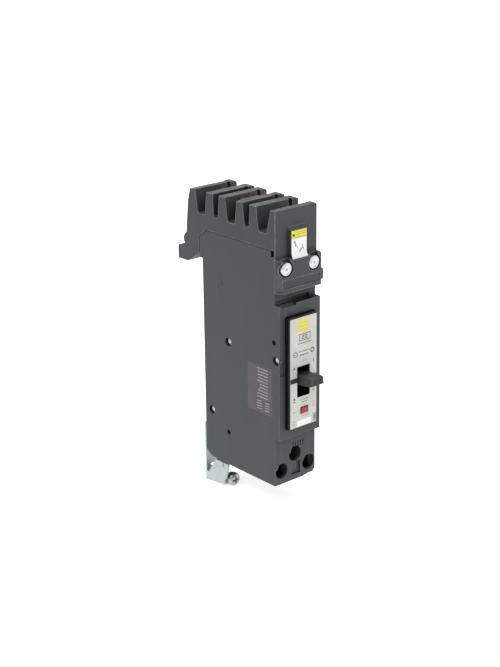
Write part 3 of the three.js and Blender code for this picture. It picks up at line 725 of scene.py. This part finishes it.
# %% Ink patches
class Print:
    """Patches of one ink on a face. to_point turns (across mm, up mm, lift mm) into a place."""

    def __init__(self, name, material, slot, to_point, body="case", thick_mm=0.03):
        self.name, self.material, self.slot, self.body = name, material, slot, body
        self.to_point, self.thick = to_point, thick_mm
        self.bm = bmesh.new()

    def patch(self, outline):
        top = [self.bm.verts.new(self.to_point(a, b, self.thick)) for a, b in outline]
        base = [self.bm.verts.new(self.to_point(a, b, 0)) for a, b in outline]
        self.bm.faces.new(top)
        self.bm.faces.new(base[::-1])
        for i in range(len(outline)):
            j = (i + 1) % len(outline)
            self.bm.faces.new([top[j], top[i], base[i], base[j]])
        return self

    def bar(self, a0, a1, b0, b1):
        return self.patch([(a0, b0), (a1, b0), (a1, b1), (a0, b1)])

    def frame(self, a0, a1, b0, b1, width):
        self.bar(a0, a1, b0, b0 + width).bar(a0, a1, b1 - width, b1)
        self.bar(a0, a0 + width, b0 + width, b1 - width)
        return self.bar(a1 - width, a1, b0 + width, b1 - width)

    def disc(self, a, b, radius, count=20):
        turns = [2 * math.pi * i / count for i in range(count)]
        return self.patch([(a + radius * math.cos(t), b + radius * math.sin(t)) for t in turns])

    def ring(self, a, b, radius, width, count=24):
        for i in range(count):
            t0, t1 = 2 * math.pi * i / count, 2 * math.pi * (i + 1) / count
            inner = radius - width
            self.patch([(a + r * math.cos(t), b + r * math.sin(t))
                        for r, t in ((inner, t0), (radius, t0), (radius, t1), (inner, t1))])
        return self

    def words(self, a0, a1, b, height, dice, gap=0.45):
        """A line of short dashes that reads as small print."""
        a = a0
        while a < a1 - 0.4:
            width = min(dice.uniform(0.5, 1.6), a1 - a)
            self.bar(a, a + width, b - height / 2, b + height / 2)
            a += width + gap
        return self

    def digits(self, text, a, b, height, width, stroke):
        """Seven-segment numbers, with a the left edge and b the foot of the first one."""
        top, low_mid, high_mid = height - stroke, (height - stroke) / 2, (height + stroke) / 2
        inner = width - stroke
        segments = {"top": (0, width, top, height), "mid": (0, width, low_mid, high_mid),
                    "low": (0, width, 0, stroke), "upper": (inner, width, high_mid, top),
                    "lower": (0, stroke, stroke, low_mid), "left": (0, stroke, stroke, top),
                    "right": (inner, width, stroke, top)}
        shapes = {"2": "top upper mid lower low", "0": "top left right low"}
        for index, digit in enumerate(text):
            left = a + index * width * 1.5
            for part in shapes[digit].split():
                a0, a1, b0, b1 = segments[part]
                self.bar(left + a0, left + a1, b + b0, b + b1)
        return self

    def done(self):
        mesh = bpy.data.meshes.new(self.name)
        self.bm.to_mesh(mesh)
        self.bm.free()
        return new_piece(self.name, mesh, self.material, self.body)


# %% [markdown]
# The rating plate has a number in a frame, rows of small print, two ringed symbols, a dark band
# level with the toggle and a blank box. Positions are in millimetres across and up the breaker.
# The dashes are drawn with one seeded dice, so every run prints the same marks.

# %% Marks on the rating plate
plate_low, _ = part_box("rating_label")
PLATE_SKIN = 0.004                   # mm of air that keeps ink from sharing the film's face


def on_plate(across, up, lift):
    return Vector((across * MM, plate_low.y - (lift + PLATE_SKIN) * MM, up * MM))


dice = random.Random(7)
dark = Print("plate_marks_dark", ink_dark, "label_print", on_plate)
dark.frame(-4.2, 6.4, 107.9, 113.0, 0.45)
dark.digits("20", -1.7, 109.0, 3.0, 2.0, 0.5)
dark.words(-5.2, 7.0, 106.2, 0.7, dice)
dark.ring(-7.6, 98.8, 2.1, 0.45).words(-8.9, -6.5, 98.8, 0.6, dice, 0.3)
dark.ring(8.3, 99.2, 1.9, 0.8)
dark.words(-4.4, 5.6, 100.2, 0.6, dice).words(-3.6, 5.0, 97.6, 0.8, dice, 0.3)
dark.disc(-8.6, 88.9, 0.85).disc(-8.6, 66.0, 0.85)
dark.bar(-9.2, -8.0, 63.4, 64.4)
dark.bar(8.9, 9.6, 68.2, 70.6).bar(9.0, 9.5, 90.0, 92.4)
dark.frame(9.3, 12.0, 45.6, 51.0, 0.5)
dark.bar(10.2, 11.1, 46.8, 49.8)
dark.done()

BAND_HEIGHTS = (78.1, 81.6)
band = Print("plate_band_dark", recess_black, "gloss_black", on_plate)
band.bar(-12.25, -6.0, *BAND_HEIGHTS)
band.done()
band_pale = Print("plate_band_grey", ink_grey, "label_print", on_plate)
band_pale.bar(6.0, 12.25, *BAND_HEIGHTS)
band_pale.ring(0.2, 93.2, 0.8, 0.25).bar(2.4, 2.7, 92.4, 94.0)
band_pale.words(-10.6, -7.4, 47.4, 0.8, dice).words(-10.6, -8.2, 49.4, 0.6, dice)
band_pale.words(-2.4, 4.8, 51.9, 0.5, dice)
band_pale.done()

green = Print("plate_marks_green", ink_green, "label_print", on_plate)
green.words(-3.0, 4.9, 64.4, 0.7, dice, 0.3).words(-1.6, 4.2, 62.4, 0.8, dice, 0.3)
green.words(-10.4, -5.6, 56.4, 0.5, dice)
green.done()

pink = Print("plate_marks_pink", ink_pink, "label_print", on_plate)
pink.words(8.2, 11.0, 60.8, 0.5, dice, 0.25).words(8.2, 11.0, 59.0, 0.5, dice, 0.25)
pink.words(8.2, 11.0, 57.2, 0.5, dice, 0.25)
pink.done()

yellow = Print("plate_patch_yellow", ink_yellow, "label_print", on_plate)
yellow.bar(-5.0, 4.6, 114.3, 123.3)
yellow.done()
ink_ochre = film("ink_ochre", (0.60, 0.40, 0.10), (0.66, 0.47, 0.16), 0.5)
ochre = Print("plate_patch_words", ink_ochre, "label_print",
              lambda across, up, lift: on_plate(across, up, lift + 0.03))
for row in range(3):
    ochre.words(-3.8, 3.6, 121.2 - 2.5 * row, 0.6, dice, 0.5)
ochre.done()
blank = Print("plate_blank_box", blank_white, "label_print", on_plate)
blank.bar(-6.2, 7.1, 44.8, 49.2)
blank.done()
print("plate marks made")

# %% [markdown]
# The sticker on the head folds out at its foot to follow the moulding. It is rebuilt as a thin
# film on the same line, split where its yellow band meets the white, so each part can have its
# own stock.

# %% Head sticker
sticker_low, sticker_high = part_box("head_sticker")
STICKER_LEFT = sticker_low.x / MM
STICKER_RIGHT = sticker_high.x / MM
STICKER_TOP = sticker_high.z / MM
STICKER_FACE = sticker_high.y / MM - 0.22
STICKER_THICK = 0.15
FOLD_UP = 3.7                        # the film leaves the flat face this far above its foot
FOLD_OUT = 1.75                      # and its foot stands this far forward


def sticker_depth(up):
    """How far the film stands forward at a height, in mm."""
    foot = sticker_low.z / MM
    down = max(0.0, (foot + FOLD_UP - up) / FOLD_UP)
    return STICKER_FACE - FOLD_OUT * down ** 1.6


def sticker_strip(name, top, bottom, material):
    bm = bmesh.new()
    rows = []
    count = max(2, round((top - bottom) / 0.5))
    for i in range(count + 1):
        up = top + (bottom - top) * i / count
        front = sticker_depth(up)
        back = front + STICKER_THICK
        rows.append([bm.verts.new(Vector((x, y, up)) * MM) for x, y in (
            (STICKER_LEFT, front), (STICKER_RIGHT, front),
            (STICKER_RIGHT, back), (STICKER_LEFT, back))])
    for upper, lower in zip(rows, rows[1:]):
        for i in range(4):
            j = (i + 1) % 4
            bm.faces.new([upper[i], lower[i], lower[j], upper[j]])
    bm.faces.new(rows[0])
    bm.faces.new(rows[-1][::-1])
    mesh = bpy.data.meshes.new(name)
    bm.to_mesh(mesh)
    bm.free()
    return new_piece(name, mesh, material, "case")


YELLOW_FOOT = STICKER_TOP - 5.6
WHITE_FOOT = sticker_low.z / MM + STICKER_THICK
sticker_strip("sticker_yellow_band", STICKER_TOP, YELLOW_FOOT, sticker_yellow)
white_film = sticker_strip("sticker_white_film", YELLOW_FOOT, WHITE_FOOT, sticker_white)
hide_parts("head_sticker")


def on_sticker(across, up, lift):
    return Vector((across, sticker_depth(up) - lift - 0.01, up)) * MM


band_ink = Print("sticker_band_marks", ink_dark, "sticker_print", on_sticker)
band_ink.disc(-4.6, STICKER_TOP - 3.2, 1.0, 16)
band_ink.words(-5.6, 5.6, YELLOW_FOOT + 0.45, 0.28, dice, 0.3)
band_ink.done()
ink_olive = film("ink_olive", (0.45, 0.40, 0.04), (0.52, 0.47, 0.06), 0.5)
band_soft = Print("sticker_band_words", ink_olive, "sticker_print", on_sticker)
band_soft.words(-2.4, 5.8, STICKER_TOP - 1.5, 0.5, dice, 0.3)
band_soft.words(-2.4, 5.8, STICKER_TOP - 3.0, 0.6, dice, 0.3)
band_soft.done()
sketch = Print("sticker_sketch", ink_grey, "sticker_print", on_sticker)
foot = YELLOW_FOOT
sketch.patch([(-4.6, foot - 1.8), (-3.4, foot - 1.6), (-2.2, foot - 5.4), (-3.0, foot - 6.0)])
sketch.patch([(-1.9, foot - 5.6), (-1.2, foot - 5.8), (-0.6, foot - 7.0), (-1.2, foot - 7.0)])
sketch.patch([(0.2, foot - 9.6), (0.9, foot - 8.8), (3.2, foot - 6.8),
              (3.4, foot - 7.6), (1.1, foot - 10.2)])
sketch.patch([(2.6, foot - 5.0), (3.1, foot - 4.8), (4.9, foot - 9.0), (4.4, foot - 9.2)])
sketch.done()
print("sticker folds out over", FOLD_UP, "mm")

# %% [markdown]
# The dark film on the left side carries rows of pale small print, set in two blocks that read
# upwards from the load end.

# %% Side film
side_low, side_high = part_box("side_label")
SIDE_LEFT = side_low.y / MM
SIDE_TOP = side_high.z / MM


def on_side(back, up, lift):
    return Vector((side_low.x - (lift + PLATE_SKIN) * MM, (SIDE_LEFT + back) * MM,
                   (SIDE_TOP + up) * MM))


rows = Print("side_small_print", side_ink, "side_print", on_side, thick_mm=0.02)
UPPER_ROWS, UPPER_PITCH = 10, 2.35
LOWER_ROWS, LOWER_PITCH = 4, 1.9
for row in range(UPPER_ROWS):
    height = -2.2 - row * UPPER_PITCH
    start = 3.4 + dice.uniform(0, 1.2)
    end = 15.5 + dice.uniform(-2.5, 0.5)
    rows.words(start, end, height, 0.75, dice, 0.35)
for row in range(LOWER_ROWS):
    height = -26.6 - row * LOWER_PITCH
    rows.words(3.0, 7.0, height, 0.6, dice, 0.3).words(11.0, 15.8, height, 0.6, dice, 0.3)
rows.done()
print("rows of side print:", UPPER_ROWS + LOWER_ROWS)

# %% [markdown]
# The test button has two short pressed lines, painted a darker red as the shade inside them.
# They ride on the button, so they go in with it.

# %% Lines on the test button
button_low, button_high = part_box("test_button")
BUTTON_ACROSS = (button_low.x + button_high.x) / 2 / MM
BUTTON_UP = (button_low.z + button_high.z) / 2 / MM
BUTTON_SKIN = 0.002


def on_button(across, up, lift):
    return Vector(((BUTTON_ACROSS + across) * MM, button_low.y - (lift + BUTTON_SKIN) * MM,
                   (BUTTON_UP + up) * MM))


# Painted shade: a darker red stands for the shade inside the pressed lines.
button_groove_shade = moulded("button_red_groove_shade", (0.10, 0.012, 0.02), 0.4)
button_ink = Print("button_lines", button_groove_shade, "button_red", on_button, "button", 0.015)
button_ink.words(-1.7, 1.7, 0.45, 0.5, dice, 0.3).words(-1.7, 1.7, -0.55, 0.5, dice, 0.3)
button_ink.done()
print("button lines made")

# %% [markdown]
# The toggle's end has the rating number pressed into it, and its figures are painted dark as
# the shade inside them. It rides on the handle, so it turns with it.

# %% Number on the toggle
HANDLE_TILT = math.radians(5.5)      # the toggle rests just above level
PIVOT = next(Vector(j["pos_m"]) for j in frame["joints"] if j["name"] == "handle_turn")
TIP_REACH = 35.4                     # mm from the pivot to the toggle's end


def on_tip(across, up, lift):
    out = Vector((0, -math.cos(HANDLE_TILT), math.sin(HANDLE_TILT)))
    rise = Vector((0, math.sin(HANDLE_TILT), math.cos(HANDLE_TILT)))
    return PIVOT + Vector((across * MM, 0, 0)) + out * (TIP_REACH + lift) * MM + rise * up * MM


# Painted shade: dark patches stand for the shade inside the pressed figures.
tip = Print("toggle_number", recess_black, "gloss_black", on_tip, "handle", 0.02)
tip.digits("20", -2.6, -1.6, 3.2, 2.2, 0.65)
tip.done()
print("toggle number made")

# %% [markdown]
# ## Room, light and camera
# Soft, even studio light shows a dark object on white best: a sun with a very wide disc as the
# key, a weak area light as fill from the front right, and a rim light behind that outlines the
# fins. The background is drawn white but lights the object less than that, so the dark
# mouldings keep their tone. The floor is pale, glows a little so that it meets the background
# without an edge, and lies just under the bracket's lowest point.

# %% Floor
FLOOR_GAP = 0.0005
FLOOR_Z = cad_box[0][2] - FLOOR_GAP
SPAN = 3.0
corners = [(-SPAN, -SPAN), (SPAN, -SPAN), (SPAN, SPAN), (-SPAN, SPAN)]
floor_mesh = bpy.data.meshes.new("floor")
floor_mesh.from_pydata([(x, y, FLOOR_Z) for x, y in corners], [], [(0, 1, 2, 3)])
floor = bpy.data.objects.new("floor", floor_mesh)
bpy.context.scene.collection.objects.link(floor)
floor_paint = Finish("floor_white", Roughness=0.9, Emission_Color=(1, 1, 1, 1),
                     Emission_Strength=0.65)
floor_mesh.materials.append(floor_paint.finish(Base_Color=(0.93, 0.93, 0.93)))
print("floor at", round(FLOOR_Z / MM, 2), "mm")

# %% [markdown]
# The world is one white background. A Light Path node tells a ray from the camera from a ray
# that lights the object, and a Map Range turns that into the two strengths. The sun's wide disc
# softens its shadows as a large softbox would, wherever the object stands.

# %% Light
SKY_ON_OBJECT = 0.42
SKY_SEEN = 1.0
world = bpy.data.worlds.new("studio")
bpy.context.scene.world = world
world.use_nodes = True
sky = world.node_tree.nodes["Background"]
sky.inputs["Color"].default_value = (1, 1, 1, 1)
seen = world.node_tree.nodes.new("ShaderNodeLightPath")
level_of_sky = world.node_tree.nodes.new("ShaderNodeMapRange")
level_of_sky.inputs["To Min"].default_value = SKY_ON_OBJECT
level_of_sky.inputs["To Max"].default_value = SKY_SEEN
world.node_tree.links.new(seen.outputs["Is Camera Ray"], level_of_sky.inputs["Value"])
world.node_tree.links.new(level_of_sky.outputs["Result"], sky.inputs["Strength"])


def lamp(name, kind, energy, direction):
    data = bpy.data.lights.new(name, kind)
    data.energy = energy
    made = bpy.data.objects.new(name, data)
    made.rotation_euler = Vector(direction).to_track_quat("-Z", "Y").to_euler()
    bpy.context.scene.collection.objects.link(made)
    return made


def area_light(name, place, size, watts):
    """A round lamp at a place, aimed at the middle of the object's front."""
    made = lamp(name, "AREA", watts, Vector(AIM) - Vector(place))
    made.data.shape = "DISK"
    made.data.size = size
    made.location = place


AIM = (0, -0.04, 0.09)
key = lamp("key", "SUN", 1.5, (0.45, 0.28, -0.85))
key.data.angle = math.radians(50)
area_light("fill", (0.75, -0.55, 0.35), 0.6, 1.5)
area_light("rim", (0.1, 0.7, 0.8), 0.5, 4)
print("lights made")

# %% [markdown]
# The camera stands to the front left and a little above, and looks down through a long lens, so
# the upright edges stay nearly parallel. Its angles say which way it looks, and the three
# directions they give become the columns of its matrix.

# %% Camera
AZIMUTH = math.radians(40.5786)
PITCH = math.radians(19.6735)
ROLL = math.radians(-0.6622)
CAMERA_PLACE = (-0.65546, -0.79581, 0.45819)
LENS_MM = 80.6
SENSOR_MM = 36
forward = Vector((math.sin(AZIMUTH) * math.cos(PITCH), math.cos(AZIMUTH) * math.cos(PITCH),
                  -math.sin(PITCH)))
level = Vector((math.cos(AZIMUTH), -math.sin(AZIMUTH), 0))
upward = level.cross(forward)
right = level * math.cos(ROLL) + upward * math.sin(ROLL)
up = upward * math.cos(ROLL) - level * math.sin(ROLL)
camera_data = bpy.data.cameras.new("camera")
camera_data.sensor_width = SENSOR_MM
camera_data.lens = LENS_MM
camera_data.clip_start = 0.01
camera = bpy.data.objects.new("camera", camera_data)
turn = Matrix((right, up, -forward)).transposed().to_4x4()
camera.matrix_world = Matrix.Translation(CAMERA_PLACE) @ turn
bpy.context.scene.collection.objects.link(camera)
bpy.context.scene.camera = camera
bpy.context.scene.view_settings.view_transform = "Standard"
